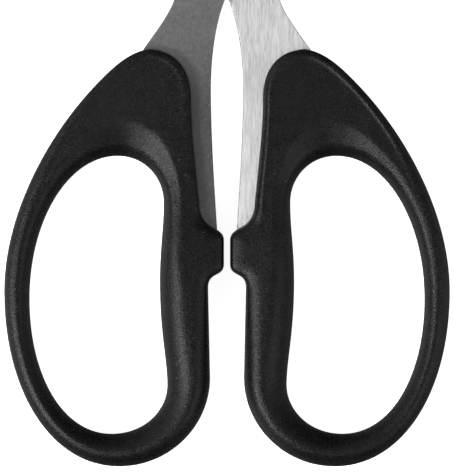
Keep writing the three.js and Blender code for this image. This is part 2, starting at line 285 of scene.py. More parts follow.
def prism(name, corners, origin, axes, material):
    """A prism: corners in the plane of the first two axes, run along the third, which has a length."""
    origin, axes = np.array(origin, float), np.array(axes, float)
    near = [origin + axes[0] * u + axes[1] * v for u, v in corners]
    far = [point + axes[2] for point in near]
    return stack(name, [np.array(near), np.array(far)], material)


def turned(name, profile, material, closed=False, segments=ROUND_SEGMENTS, center=(0, 0)):
    """A round solid about an upright axis, from (radius, height) corners.

    The corners start and end on the axis, or the last one is joined to the first.
    """
    rings = []
    points = []
    for radius, height in profile:
        if radius < ON_AXIS:
            rings.append([len(points)])
            points.append((center[0], center[1], height))
            continue
        rings.append(list(range(len(points), len(points) + segments)))
        for step in range(segments):
            angle = 2 * math.pi * step / segments
            x, y = center[0] + radius * math.cos(angle), center[1] + radius * math.sin(angle)
            points.append((x, y, height))
    pairs = list(zip(rings[:-1], rings[1:]))
    if closed:
        pairs.append((rings[-1], rings[0]))
    faces = []
    for low, high in pairs:
        for step in range(segments):
            after = (step + 1) % segments
            if len(low) == 1:
                faces.append((low[0], high[after], high[step]))
            elif len(high) == 1:
                faces.append((low[step], low[after], high[0]))
            else:
                faces.append((low[step], low[after], high[after], high[step]))
    return new_piece(name, points, faces, material)


def eased(corners, radius, steps=4):
    """Profile corners, each one but the first and the last rounded by about the radius."""
    corners = [np.array(corner, float) for corner in corners]
    result = [corners[0]]
    for before, here, after in zip(corners[:-2], corners[1:-1], corners[2:]):
        back, on = before - here, after - here
        back_length, on_length = np.linalg.norm(back), np.linalg.norm(on)
        reach = min(radius, back_length / ROUNDINGS_PER_SIDE, on_length / ROUNDINGS_PER_SIDE)
        start = here + back / back_length * reach
        end = here + on / on_length * reach
        for t in np.linspace(0, 1, steps):
            result.append((1 - t) ** 2 * start + 2 * t * (1 - t) * here + t * t * end)
    result.append(corners[-1])
    return [tuple(point) for point in result]


def hole_cutter(radius, top, material, **shape):
    """What makes a round hole from below the piece up to a height."""
    return turned("hole", [(0, CUT_BELOW), (radius, CUT_BELOW), (radius, top), (0, top)], material, **shape)


# ---- Handles ----

# Stations around the bow. rim and hole are places on the two outlines. crest and rim_crest are half the
# thickness beside the hole and towards the rim. The surface rises from the hole over a rounded foot, then
# at an even slope, and reaches its crest at the end of the roll. It falls towards the rim by rise over
# edge, and again by drop over lip. A raised bead frames the web, of one height on the bow's outer side
# and another on its inner side. The inner side also has a small ledge along its seam, from 0 (none) to 1.
STATION_KEYS = ("rim", "hole", "crest", "rim_crest", "roll", "foot", "slope", "edge", "rise", "lip",
                "drop", "bead_outer", "bead_inner", "ledge")
STATIONS = np.array([
    (0.00, 0.00, 3.8, 3.8, 2.9, 2.9, 0.16, 2.6, 3.8, 0.3, 0.0, 0.00, 0.00, 0.0),
    (0.50, 0.50, 4.3, 4.3, 3.9, 3.9, 0.14, 2.8, 4.2, 0.3, 0.0, 0.00, 0.00, 0.0),
    (1.00, 1.00, 4.7, 4.7, 4.3, 4.3, 0.14, 2.9, 4.5, 0.3, 0.0, 0.00, 0.00, 0.0),
    (2.00, 1.90, 5.0, 4.9, 4.2, 4.0, 0.14, 3.0, 2.0, 0.5, 1.4, 0.00, 0.00, 0.0),
    (3.00, 2.20, 5.0, 4.6, 3.8, 3.4, 0.16, 3.0, 1.0, 0.5, 2.0, 0.00, 0.00, 0.0),
    (4.00, 2.50, 4.9, 4.5, 3.5, 2.8, 0.20, 2.6, 1.2, 0.5, 2.0, 0.00, 0.00, 0.3),
    (4.50, 2.75, 4.7, 4.4, 3.2, 2.4, 0.28, 2.3, 2.0, 0.5, 1.8, 0.00, 0.04, 1.0),
    (5.00, 3.00, 4.6, 4.4, 3.0, 1.8, 0.34, 1.3, 0.5, 0.4, 1.6, 0.00, 0.10, 1.0),
    (5.30, 3.20, 4.5, 4.3, 3.2, 1.5, 0.40, 1.3, 0.5, 0.4, 1.5, 0.00, 0.16, 1.0),
    (5.60, 3.45, 4.4, 4.3, 4.1, 1.7, 0.42, 1.3, 0.5, 0.4, 1.4, 0.00, 0.16, 1.0),
    (6.00, 3.65, 4.3, 4.2, 5.4, 2.2, 0.40, 1.3, 0.5, 0.4, 1.2, 0.02, 0.16, 1.0),
    (7.00, 3.90, 4.2, 4.2, 6.1, 2.4, 0.36, 1.2, 0.7, 0.4, 0.6, 0.08, 0.16, 0.8),
    (8.00, 4.03, 4.2, 4.2, 5.7, 2.3, 0.36, 1.1, 0.9, 0.3, 0.2, 0.13, 0.16, 0.0),
    (8.28, 4.20, 4.2, 4.2, 3.4, 2.2, 0.36, 1.2, 1.3, 0.3, 0.0, 0.10, 0.13, 0.0),
    (8.52, 4.40, 4.0, 4.0, 2.4, 2.0, 0.30, 1.8, 2.0, 0.5, 0.3, 0.04, 0.04, 0.0),
    (9.00, 5.00, 3.7, 3.7, 2.1, 1.9, 0.20, 2.4, 2.4, 0.7, 1.0, 0.00, 0.00, 0.0),
    (9.50, 5.50, 3.7, 3.7, 2.4, 2.2, 0.18, 2.5, 3.0, 0.6, 0.5, 0.00, 0.00, 0.0),
    (10.00, 6.00, 3.8, 3.8, 2.9, 2.9, 0.16, 2.6, 3.8, 0.3, 0.0, 0.00, 0.00, 0.0),
])
STATION_SPACING = 0.7        # millimetres between sections, along the longer of the two outlines
STOP_SPACING = 0.25          # the same around the stop block, which has tighter corners
STOP_PLACES = (2.0, 5.0)     # the places on the rim between which the stop block lies
RUN_SAMPLES = 20             # points by which the length between two stations is measured
SMOOTHING = 4                # sections over which the thicknesses are evened out
CREST_BLEND = 0.10           # how much height the turn from the roll to the web takes
BEAD_FALL = 0.5              # how far the bead takes to fall to the web
LEDGE_WIDTH = 0.55           # the ledge's width
LEDGE_DEPTH = 0.8            # how far below the crest it lies
LEDGE_LIP = 0.4              # how far its surface rises, rounded, from the rim
LEDGE_RUN = 0.85             # the width of the rounded rise from it to the crest
LEAST_LEDGE = 0.01           # the width that stands in for no ledge at all, as it can't be 0
LEAST_WALL = 0.12            # half height of the flat wall at the rim
OUTLINE_SPACING = 0.05       # millimetres between the points from which distances are measured
# Distances from the rim, and fractions of the way over the roll, at which a section has points
RIM_STEPS = np.array([0, 0.02, 0.06, 0.12, 0.2, 0.3, 0.4, 0.5, 0.6, 0.7, 0.8, 0.9, 1.0, 1.15, 1.25, 1.35,
                      1.45, 1.6, 1.8, 2.1, 2.5, 3.0])
ROLL_COLUMNS = 22
ROLL_REACH = 1.2             # these points go a little past the roll
ROLL_STEPS = ROLL_REACH * (1 - np.cos(np.linspace(0, math.pi / 2, ROLL_COLUMNS)))
RIM_SHARE = 0.45             # the most of a section's width that the points near the rim may take
HOLE_SHARE = 0.5             # the same near the hole
WEB_COLUMNS = 10
WALL_ROWS = 3


def bow_stations():
    """Every section's row of the values in STATION_KEYS, with the thicknesses evened out."""
    rows = []
    for start, end in zip(STATIONS[:-1], STATIONS[1:]):
        spacing = STOP_SPACING if STOP_PLACES[0] <= start[0] < STOP_PLACES[1] else STATION_SPACING
        length = max(length_between(RIM, start[0], end[0]), length_between(HOLE, start[1], end[1]))
        count = math.ceil(length / spacing)
        for step in range(count):
            rows.append(start + (end - start) * step / count)
    rows = np.array(rows)
    reach = np.arange(-3 * SMOOTHING, 3 * SMOOTHING + 1)
    weights = np.exp(-0.5 * (reach / SMOOTHING) ** 2)
    weights /= weights.sum()
    thicknesses = rows[:, 2:]
    rows[:, 2:] = sum(weight * np.roll(thicknesses, shift, axis=0) for shift, weight in zip(reach, weights))
    return dict(zip(STATION_KEYS, rows.T))


def length_between(cubics, start, end):
    """The length of an outline between two places on it."""
    return line_length(at_places(cubics, np.linspace(start, end, RUN_SAMPLES)))


def distance_to(points, line):
    """Each point's distance to a closed line of closely spaced points."""
    tree = KDTree(len(line))
    for index, (x, y) in enumerate(line):
        tree.insert((x, y, 0), index)
    tree.balance()
    nearest = np.array([tree.find((x, y, 0))[1] for x, y in points])
    best = np.full(len(points), np.inf)
    for shift in (-1, 0):
        start = line[(nearest + shift) % len(line)]
        end = line[(nearest + shift + 1) % len(line)]
        span = end - start
        part = np.clip(((points - start) * span).sum(1) / (span * span).sum(1), 0, 1)
        best = np.minimum(best, np.linalg.norm(points - start - span * part[:, None], axis=1))
    return best


def smooth_step(share):
    """A share from 0 to 1, eased at both ends."""
    return share * share * (3 - 2 * share)


def rounded(distance, width):
    """How far up a rounded edge is, 0 to 1, at a distance in from its foot."""
    inward = np.clip(1 - distance / width, 0, 1)
    return np.sqrt(1 - inward * inward)


def soft_least(first, second, blend):
    """The lesser of two heights, with a smooth turn between them."""
    share = np.clip(0.5 + 0.5 * (second - first) / blend, 0, 1)
    return second + (first - second) * share - blend * share * (1 - share)


def rolled(distance, crest, roll, foot, slope):
    """The height at a distance from the hole: a rounded foot, an even slope and the level crest."""
    sloping = crest - slope * (roll - distance)
    return soft_least(sloping, crest, CREST_BLEND) * rounded(distance, foot)


def over_ledge(from_rim, crest, share):
    """The height over the ledge: its lip, the level of the ledge and the rounded rise to the crest."""
    width = np.maximum(LEDGE_WIDTH * share, LEAST_LEDGE)
    step = LEDGE_DEPTH * share * (1 - rounded(from_rim - width, LEDGE_RUN))
    return crest - step - LEDGE_LIP * share * (1 - rounded(from_rim, width))


def bow_columns(width, roll):
    """Distances from the finger hole to the rim at which a section's points lie."""
    rim_side = RIM_STEPS * min(1.0, RIM_SHARE * width / RIM_STEPS[-1])
    hole_side = ROLL_STEPS * min(roll, HOLE_SHARE * width / ROLL_STEPS[-1])
    middle = np.linspace(hole_side[-1], width - rim_side[-1], WEB_COLUMNS + 2)[1:-1]
    return np.concatenate([hole_side, middle, width - rim_side[::-1]])


def bow_plan(stations):
    """The bow's points seen from above, section by section, and how far across the section each one is."""
    inner = at_places(HOLE, stations["hole"])
    outer = at_places(RIM, stations["rim"])
    width = np.linalg.norm(outer - inner, axis=1)
    columns = np.array([bow_columns(*sizes) for sizes in zip(width, stations["roll"])])
    across = columns / width[:, None]
    return inner[:, None] + (outer - inner)[:, None] * across[..., None], across


def distances_from(cubics, plan):
    """Each planned point's distance from an outline."""
    distances = distance_to(plan.reshape(-1, 2), polygon(cubics, OUTLINE_SPACING))
    return distances.reshape(plan.shape[:2])


def side_heights(value, across, from_hole, from_rim, bead, ledge):
    """How far one side of the bow stands from the mid-plane at each point."""
    crest = value["crest"] + (value["rim_crest"] - value["crest"]) * smooth_step(across)
    fall = value["rise"] * (1 - rounded(from_rim, value["edge"]))
    fall = fall + value["drop"] * (1 - rounded(from_rim, value["lip"]))
    past_bead = np.clip((from_rim - np.maximum(value["edge"], value["lip"])) / BEAD_FALL, 0, 1)
    height = crest - fall - bead * smooth_step(past_bead)
    height = np.minimum(height, over_ledge(from_rim, crest, ledge))
    hole_rise = rolled(from_hole, crest, value["roll"], value["foot"], value["slope"]) / crest
    return np.maximum(height, LEAST_WALL) * hole_rise


def bow_points():
    """The bow's surface as a grid: sections around it, and points around each section."""
    stations = bow_stations()
    plan, across = bow_plan(stations)
    from_hole, from_rim = distances_from(HOLE, plan), distances_from(RIM, plan)
    from_hole[:, 0] = 0
    from_rim[:, -1] = 0
    value = {key: stations[key][:, None] for key in STATION_KEYS}
    outer_side = side_heights(value, across, from_hole, from_rim, value["bead_outer"], 0)
    inner_side = side_heights(value, across, from_hole, from_rim, value["bead_inner"], value["ledge"])
    top, bottom = np.dstack([plan, outer_side]), np.dstack([plan, -inner_side])
    wall = np.repeat(top[:, -1:], WALL_ROWS, axis=1)
    wall[..., 2] *= np.linspace(1, -1, WALL_ROWS + 2)[1:-1]
    back_to_hole = bottom[:, :0:-1]      # without the points at the hole, which the top already has
    grid = np.concatenate([top, wall, back_to_hole], axis=1)
    grid[..., 2] += MID_PLANE
    return grid


def bow(name, grid, material, rear=False):
    """One handle from its grid of points, which closes on itself both ways."""
    around, count = grid.shape[:2]
    points = grid.reshape(-1, 3)
    if rear:
        points = turned_over(points)
    faces = []
    for section in range(around):
        here = section * count
        following = (section + 1) % around * count
        for column in range(count):
            after = (column + 1) % count
            faces.append((here + column, here + after, following + after, following + column))
    piece = new_piece(name, points, faces, material)
    shade(piece, sharp_degrees=50)
    return piece


# ---- Blades ----

BLADE_TOP = BLADE_HIGH[2]
BLADE_BOTTOM = BLADE_LOW[2]
BLADE_SPACING = 0.8          # millimetres between the points of the blade's outline
GRIND_WIDTH = 4.5            # the long bevel on the outer face, and how deep it goes at the edge
GRIND_DEPTH = 0.9
BEVEL_WIDTH = 0.7            # the steep bevel at the edge, and the flat that it leaves
EDGE_LAND = 0.06
TIP_THINNING = 0.6           # how much thinner the blade is at its tip, and where that starts along it
THINNING_START = 18.0
PIVOT_HOLE_RADIUS = 3.05
RECESS_RADIUS = 6.0          # the recess for the bearing washer
RECESS_DEPTH = 0.25
CORNER = 0.16                # radius of the blade's worn corners
CORNER_STEPS = 4
FACING_DOWN = -0.9           # below this upward share of its normal, a face is the inner face
FACING_UP = 0.99             # and above this one, it is the outer face
GROUND_REACH = 5             # how far from the cutting edge a ground face may be


def offset_outline(points, amounts):
    """A closed outline moved inward by an amount at each point."""
    tangent = np.roll(points, -1, axis=0) - np.roll(points, 1, axis=0)
    tangent /= np.linalg.norm(tangent, axis=1)[:, None]
    inward = np.stack([-tangent[:, 1], tangent[:, 0]], axis=1)
    return points + inward * amounts[:, None]


def blade_body(material):
    """The blade before grinding, with small round corners everywhere but along the cutting edge."""
    points = polygon(BLADE, BLADE_SPACING)
    before = sum(point_count(cubic, BLADE_SPACING) for cubic in BLADE[:CUTTING_STRETCH])
    edge_count = point_count(BLADE[CUTTING_STRETCH], BLADE_SPACING)
    keen = np.zeros(len(points))     # 1 along the cutting edge, which isn't worn round
    keen[before:before + edge_count + 1] = 1
    rings = []
    for side, level in ((1, BLADE_BOTTOM), (-1, BLADE_TOP)):
        angles = np.linspace(0, math.pi / 2, CORNER_STEPS)[::side]
        for angle in angles:
            inset = CORNER * (1 - math.sin(angle)) * (1 - keen)
            height = np.full(len(points), level + side * CORNER * (1 - math.cos(angle)))
            rings.append(np.column_stack([offset_outline(points, inset), height]))
    return stack("blade_body", rings, material)


def edge_wedge(width, low, high, material):
    """What a bevel takes off, along the cutting edge, above a slope from (0, low) to (width, high)."""
    slope = (high - low) / width
    reach = 2.0
    ceiling = high + reach
    along_edge = (EDGE_TIP - EDGE_HEEL) / np.linalg.norm(EDGE_TIP - EDGE_HEEL)
    run = np.linalg.norm(EDGE_TIP - EDGE_HEEL) + 2 * reach
    return prism(
        "edge_wedge",
        [(-reach, low - reach * slope), ((ceiling - low) / slope, ceiling), (-reach, ceiling)],
        (*EDGE_HEEL, 0),
        [(along_edge[1], -along_edge[0], 0), (0, 0, 1), (*along_edge * run, 0)],
        material,
    )


def tip_wedge(material):
    """What thins the blade's outer face towards its tip."""
    past_tip, clearance, width = 5, 1, 40
    end = EDGE_TIP[1] + past_tip
    ceiling = BLADE_TOP + clearance
    drop = TIP_THINNING * (end - THINNING_START) / (EDGE_TIP[1] - THINNING_START)
    return prism(
        "tip_wedge",
        [(THINNING_START, BLADE_TOP), (end, BLADE_TOP - drop), (end, ceiling), (THINNING_START, ceiling)],
        (-width / 2, 0, 0),
        [(0, 1, 0), (0, 0, 1), (width, 0, 0)],
        material,
    )


def blade(name, materials, rear=False):
    """One blade: its body, less the grinds, the pivot hole and the recess for the bearing washer."""
    material = materials[0]
    piece = blade_body(material)
    piece.name = name
    cut(
        piece,
        tip_wedge(material),
        edge_wedge(GRIND_WIDTH, BLADE_TOP - GRIND_DEPTH, BLADE_TOP, material),
        edge_wedge(BEVEL_WIDTH, BLADE_BOTTOM + EDGE_LAND, BLADE_TOP - GRIND_DEPTH, material),
        hole_cutter(PIVOT_HOLE_RADIUS, CUT_ABOVE, material),
        hole_cutter(RECESS_RADIUS, BLADE_BOTTOM + RECESS_DEPTH, material),
    )
    finish_faces(piece, materials)
    if rear:
        points = np.array([vertex.co for vertex in piece.data.vertices]) / MM
        for vertex, point in zip(piece.data.vertices, turned_over(points)):
            vertex.co = point * MM
    piece.data.name = name
    shade(piece, sharp_degrees=12)
    return piece


def finish_faces(piece, materials):
    """The outer face is satin, the inner face is brushed, and the bevels are ground, in that order."""
    satin, brushed, ground = range(3)
    piece.data.materials.clear()
    for material in materials:
        piece.data.materials.append(material)
    for face in piece.data.polygons:
        face.material_index = satin
        if face.normal.z < FACING_DOWN:
            face.material_index = brushed
        elif face.normal.z < FACING_UP and beside_edge(face.center / MM):
            face.material_index = ground


def beside_edge(point):
    """Whether a point lies within the grind along the cutting edge."""
    run = EDGE_TIP - EDGE_HEEL
    from_heel = np.array(point[:2]) - EDGE_HEEL
    length = np.linalg.norm(run)
    distance = abs(run[0] * from_heel[1] - run[1] * from_heel[0]) / length
    return 0 < from_heel @ run / length < length and distance < GROUND_REACH


# ---- Pivot ----

SCREW_GAP = 0.03             # between the screw's head or shoulder and what it sits on
SCREW_ROUNDING = 0.12
HEAD_SIDE = 0.9              # height of the straight side below the head's dome
DOME_START = 0.12            # radians up the dome at which the side turns into it
DOME_POINTS = 14
SHOULDER_RADIUS = 3.0
THREAD_RADIUS = 2.0
SLOT_TURN = math.radians(62)
SLOT_LENGTH = 12
SLOT_HALF_WIDTH = 0.65
SLOT_DEPTH = 1.0
WASHER_BORE = 3.1
WASHER_ROUNDING = 0.08
SPRING_CONE = 0.25           # how much the spring washer's bore stands above its rim
NUT_BEVEL = 0.4
NUT_BORE = 2.1
NUT_FLOOR = 0.7              # thickness of the nut's closed end
NUT_ROUNDING = 0.15
SPANNER_RADIUS = 0.8
SPANNER_DEPTH = 1.0
SPANNER_PLACE = 3.7          # how far the spanner holes lie from the axis
SPANNER_SEGMENTS = 32


def pivot_screw(material):
    """A shouldered screw with a domed, slotted head."""
    radius, top = SCREW_HIGH[0], SCREW_HIGH[2]
    head_bottom = HEAD_WASHER_HIGH[2] + SCREW_GAP
    side_top = head_bottom + HEAD_SIDE
    angles = np.linspace(math.pi / 2, DOME_START, DOME_POINTS)[1:]
    dome = [(radius * math.cos(angle), side_top + (top - side_top) * math.sin(angle)) for angle in angles]
    shoulder = NUT_HIGH[2] + SCREW_GAP
    shank = eased([
        (radius, side_top), (radius, head_bottom), (SHOULDER_RADIUS, head_bottom),
        (SHOULDER_RADIUS, shoulder), (THREAD_RADIUS, shoulder), (THREAD_RADIUS, SCREW_LOW[2]),
        (0, SCREW_LOW[2]),
    ], SCREW_ROUNDING)
    screw = turned("pivot_screw_look", [(0, top)] + dome + shank, material)
    cut(screw, slot_cutter(top, material))
    shade(screw, sharp_degrees=30)
    return screw


def slot_cutter(top, material):
    """What makes the screwdriver slot across the screw's head."""
    run = SLOT_LENGTH * np.array([math.cos(SLOT_TURN), math.sin(SLOT_TURN), 0])
    sideways = (-math.sin(SLOT_TURN), math.cos(SLOT_TURN), 0)
    corners = [(-SLOT_HALF_WIDTH, -SLOT_DEPTH), (SLOT_HALF_WIDTH, -SLOT_DEPTH),
               (SLOT_HALF_WIDTH, SLOT_DEPTH), (-SLOT_HALF_WIDTH, SLOT_DEPTH)]
    return prism("slot", corners, np.array([0, 0, top]) - run / 2, [sideways, (0, 0, 1), run], material)


def washer(name, node, material, cone=0.0):
    """A washer as wide and high as its CAD node. cone is how much its bore stands above its rim."""
    (_, _, low), (radius, _, high) = levels(node)
    thickness = high - low - cone
    middle_of_bore = (WASHER_BORE, low + cone + thickness / 2)
    corners = [middle_of_bore, (WASHER_BORE, low + cone), (radius, low), (radius, low + thickness),
               (WASHER_BORE, high), middle_of_bore]
    piece = turned(name, eased(corners, WASHER_ROUNDING)[:-1], material, closed=True)
    shade(piece, sharp_degrees=40)
    return piece


def pivot_nut(material):
    """A round, closed nut with two blind holes for a pin spanner."""
    radius, top = NUT_HIGH[0], NUT_HIGH[2]
    profile = eased([
        (0, 0), (radius - NUT_BEVEL, 0), (radius, NUT_BEVEL), (radius, top), (NUT_BORE, top),
        (NUT_BORE, NUT_FLOOR), (0, NUT_FLOOR),
    ], NUT_ROUNDING)
    nut = turned("pivot_nut_look", profile, material)
    cut(nut, *[
        hole_cutter(SPANNER_RADIUS, SPANNER_DEPTH, material, segments=SPANNER_SEGMENTS, center=(place, 0))
        for place in (-SPANNER_PLACE, SPANNER_PLACE)
    ])
    shade(nut, sharp_degrees=30)
    return nut


# ---- Materials ----


def grey(level):
    """The colour with the same level of red, green and blue."""
    return (level, level, level)


class Nodes:
    """A node tree with short ways to add nodes and link them."""

    def __init__(self, name):
        self.material = bpy.data.materials.new(name)
        self.material.use_nodes = True
        self.tree = self.material.node_tree
        self.tree.nodes.clear()
        output = self.tree.nodes.new("ShaderNodeOutputMaterial")
        self.shader = self.tree.nodes.new("ShaderNodeBsdfPrincipled")
        self.link(self.shader.outputs[0], output.inputs["Surface"])
        self.place = self.tree.nodes.new("ShaderNodeTexCoord").outputs["Object"]

    def link(self, source, target):
        self.tree.links.new(source, target)

    def connect(self, name, source):
        """Links a value to the shader's input of that name."""
        self.link(source, self.shader.inputs[name])

    def fix(self, name, value):
        """Gives the shader's input of that name one value everywhere."""
        self.shader.inputs[name].default_value = value

    def scaled(self, scale):
        """Object coordinates stretched by a scale on each axis."""
        node = self.tree.nodes.new("ShaderNodeMapping")
        node.inputs["Scale"].default_value = scale
        self.link(self.place, node.inputs["Vector"])
        return node.outputs[0]

    def coordinate(self, axis):
        """One of the object coordinates."""
        node = self.tree.nodes.new("ShaderNodeSeparateXYZ")
        self.link(self.place, node.inputs[0])
        return node.outputs[axis]

    def noise(self, vector, fineness=1.0, detail=3.0, roughness=0.55):
        """A cloudy value around 0.5. Its fineness is per metre of the object, before any stretching."""
        node = self.tree.nodes.new("ShaderNodeTexNoise")
        node.inputs["Scale"].default_value = fineness
        node.inputs["Detail"].default_value = detail
        node.inputs["Roughness"].default_value = roughness
        self.link(vector, node.inputs["Vector"])
        return node.outputs["Fac"]

    def remap(self, value, before, after=(0, 1)):
        """Takes a value from one range to another, and holds it at the ends."""
        node = self.tree.nodes.new("ShaderNodeMapRange")
        for name, number in zip(("From Min", "From Max", "To Min", "To Max"), (*before, *after)):
            node.inputs[name].default_value = number
        self.link(value, node.inputs["Value"])
        return node.outputs["Result"]

    def math(self, operation, *values):
        """A sum, product or root of numbers and sockets."""
        node = self.tree.nodes.new("ShaderNodeMath")
        node.operation = operation
        for socket, value in zip(node.inputs, values):
            if isinstance(value, (int, float)):
                socket.default_value = value
            else:
                self.link(value, socket)
        return node.outputs[0]

    def blend(self, first, second, first_share):
        """The sum of two values, with a share of the first and the rest of the second."""
        return self.math("ADD", self.math("MULTIPLY", first, first_share),
                         self.math("MULTIPLY", second, 1 - first_share))

    def mix(self, factor, first, second):
        """A mix of two colours or colour sockets."""
        node = self.tree.nodes.new("ShaderNodeMix")
        node.data_type = "RGBA"
        self.link(factor, node.inputs["Factor"])
        for socket, value in ((node.inputs[6], first), (node.inputs[7], second)):
            if isinstance(value, tuple):
                socket.default_value = (*value, 1)
            else:
                self.link(value, socket)
        return node.outputs[2]

    def bump(self, height, distance, strength, normal=None):
        """A normal from a height that spans a distance in metres, on top of another normal."""
        node = self.tree.nodes.new("ShaderNodeBump")
        node.inputs["Distance"].default_value = distance
        node.inputs["Strength"].default_value = strength
        self.link(height, node.inputs["Height"])
        if normal:
            self.link(normal, node.inputs["Normal"])
        return node.outputs[0]


NOISE_MIDDLE = (0.3, 0.7)    # the range that most of a noise lies in
PLASTIC_BLACKS = ((0.0005, 0.0005, 0.0005), (0.0065, 0.0065, 0.0068))
DUST = grey(0.06)


def plastic_material():
    """Black moulded plastic with a fine spark-eroded grain."""
    look = Nodes("handle_plastic_look")
    grain = look.noise(look.place, fineness=3200, roughness=0.65)
    mottle = look.noise(look.place, fineness=420, detail=4.0)
    cloud = look.noise(look.place, fineness=60)
    specks = look.noise(look.place, fineness=1100, detail=1.0)
    tone = look.blend(grain, mottle, first_share=0.7)
    black = look.mix(look.remap(tone, (0.4, 0.6)), *PLASTIC_BLACKS)
    look.connect("Base Color", look.mix(look.remap(specks, (0.76, 0.8), (0, 0.5)), black, DUST))
    broad_rough = look.remap(cloud, NOISE_MIDDLE, (0.26, 0.30))
    fine_rough = look.remap(grain, NOISE_MIDDLE, (-0.09, 0.09))
    look.connect("Roughness", look.math("ADD", broad_rough, fine_rough))
    grain_bump = look.bump(grain, distance=0.0001, strength=1.0)
    look.connect("Normal", look.bump(mottle, distance=0.00006, strength=0.25, normal=grain_bump))
    look.fix("Specular IOR Level", 0.22)
    return look.material


INNER_STEEL = ((0.71, 0.71, 0.72), (0.97, 0.97, 0.97))
GROUND_STEEL = ((0.3, 0.3, 0.31), (0.46, 0.46, 0.47))
SCRATCH = grey(0.2)
TIPWARD_STEEL = grey(0.25)
TIPWARD_STRETCH = (-0.005, 0.015)     # metres along the shears over which the steel turns darker towards the tips


def brushed_steel_material(name, colours, rough, tangent_axis, along, across):
    """Steel with grinding lines, whose fineness along and across the shears is per metre."""
    look = Nodes(name)
    lines = look.noise(look.scaled((across, along, along)), detail=4.0, roughness=0.7)
    bands = look.noise(look.scaled((across / 5, along / 4, along / 4)), roughness=0.6)
    scratches = look.noise(look.scaled((across / 1.6, along, along)), detail=2.0, roughness=0.5)
    cloud = look.noise(look.place, fineness=45)
    streaks = look.blend(lines, bands, first_share=0.75)
    steel = look.mix(look.remap(streaks, (0.4, 0.58)), *colours)
    scratched = look.mix(look.remap(scratches, (0.66, 0.74), (0, 0.3)), steel, SCRATCH)
    # the steel turns darker towards the tips
    tipward_darkening = look.remap(look.coordinate("Y"), TIPWARD_STRETCH, (0, 0.55))
    look.connect("Base Color", look.mix(tipward_darkening, scratched, TIPWARD_STEEL))
    fine_rough = look.remap(lines, NOISE_MIDDLE, (rough - 0.04, rough + 0.05))
    broad_rough = look.remap(cloud, NOISE_MIDDLE, (-0.03, 0.03))
    look.connect("Roughness", look.math("ADD", fine_rough, broad_rough))
    look.connect("Normal", look.bump(lines, distance=0.00004, strength=0.35))
    tangent = look.tree.nodes.new("ShaderNodeTangent")
    tangent.direction_type = "RADIAL"
    tangent.axis = tangent_axis
    look.connect("Tangent", tangent.outputs[0])
    look.fix("Anisotropic", 0.85)
    look.fix("Metallic", 1.0)
    return look.material


SATIN_STEEL = ((0.20, 0.196, 0.199), (0.325, 0.32, 0.324))
# the colour of the painted glints on the outer steel's pits
PIT_GLINT_PAINT = grey(0.75)
SHANK_SHADE_STRETCH = (-0.020, -0.034)   # metres along the shears over which painted shade darkens the shank towards the handle


def satin_steel_material():
    """The blades' outer faces: dull grey, with fine pits in the bump and painted glints on them as bright
    specks.
    """
    look = Nodes("blade_outer_look")
    pits = look.noise(look.place, fineness=1700, detail=2.0, roughness=0.6)
    grain = look.noise(look.scaled((1900, 1300, 900)), detail=4.0, roughness=0.7)
    cloud = look.noise(look.place, fineness=55, detail=4.0)
    tone = look.blend(grain, cloud, first_share=0.5)
    steel = look.mix(look.remap(tone, (0.35, 0.65)), *SATIN_STEEL)
    # painted shade: the shank turns darker towards the handle, where the handle's shade falls
    handle_shade = look.remap(look.coordinate("Y"), SHANK_SHADE_STRETCH, (0, 0.45))
    painted_shade_steel = look.mix(handle_shade, steel, grey(0.0))
    # painted glints: bright specks where the pits are, on top of their real bump
    look.connect("Base Color", look.mix(look.remap(pits, (0.7, 0.78), (0, 0.5)), painted_shade_steel, PIT_GLINT_PAINT))
    look.connect("Roughness", look.remap(grain, NOISE_MIDDLE, (0.34, 0.42)))
    grain_bump = look.bump(grain, distance=0.00001, strength=0.3)
    look.connect("Normal", look.bump(pits, distance=0.00002, strength=0.35, normal=grain_bump))
    look.fix("Metallic", 1.0)
    return look.material


SCREW_STEEL = (0.62, 0.62, 0.63)
SPRING_STEEL = (0.3, 0.3, 0.31)
TURNING_FINENESS = 9000.0    # of the rings that the tool leaves, per metre
DARKER_SHARE = 0.8           # the brightness of the darkest parts, as a share of the colour's


def turned_steel_material(name, colour, rough):
    """Steel with the fine rings that turning leaves."""
    look = Nodes(name)
    squares = [look.math("MULTIPLY", look.coordinate(axis), look.coordinate(axis)) for axis in ("X", "Y")]
    radius = look.math("SQRT", look.math("ADD", *squares))
    place = look.tree.nodes.new("ShaderNodeCombineXYZ")
    look.link(look.math("MULTIPLY", radius, TURNING_FINENESS), place.inputs["X"])
    look.link(look.math("MULTIPLY", look.coordinate("Z"), TURNING_FINENESS), place.inputs["Y"])
    rings = look.noise(place.outputs[0], detail=2.0)
    cloud = look.noise(look.place, fineness=500)
    darker = tuple(level * DARKER_SHARE for level in colour)
    look.connect("Base Color", look.mix(look.remap(cloud, (0.35, 0.65)), darker, colour))
    look.connect("Roughness", look.remap(rings, NOISE_MIDDLE, (rough - 0.06, rough + 0.08)))
    look.connect("Normal", look.bump(rings, distance=0.00001, strength=0.5))
    look.fix("Metallic", 1.0)
    return look.material


NYLON = ((0.78, 0.75, 0.68), (0.86, 0.84, 0.78))


def nylon_material():
    """Off-white bearing polymer."""
    look = Nodes("bearing_nylon_look")
    cloud = look.noise(look.place, fineness=800)
    look.connect("Base Color", look.mix(look.remap(cloud, NOISE_MIDDLE), *NYLON))
    look.connect("Roughness", look.remap(cloud, NOISE_MIDDLE, (0.45, 0.6)))
    look.connect("Normal", look.bump(cloud, distance=0.00002, strength=0.3))
    return look.material


def floor_material():
    """A pale floor that glows, so that it stays white around the shears."""
    look = Nodes("floor_look")
    cloud = look.noise(look.place, fineness=3.0, detail=2.0)
    look.connect("Base Color", look.mix(cloud, grey(0.84), grey(0.88)))
    look.fix("Roughness", 0.9)
    look.fix("Specular IOR Level", 0.1)
    look.fix("Emission Color", (1, 1, 1, 1))
    look.fix("Emission Strength", 0.88)
    return look.material


# ---- Studio ----

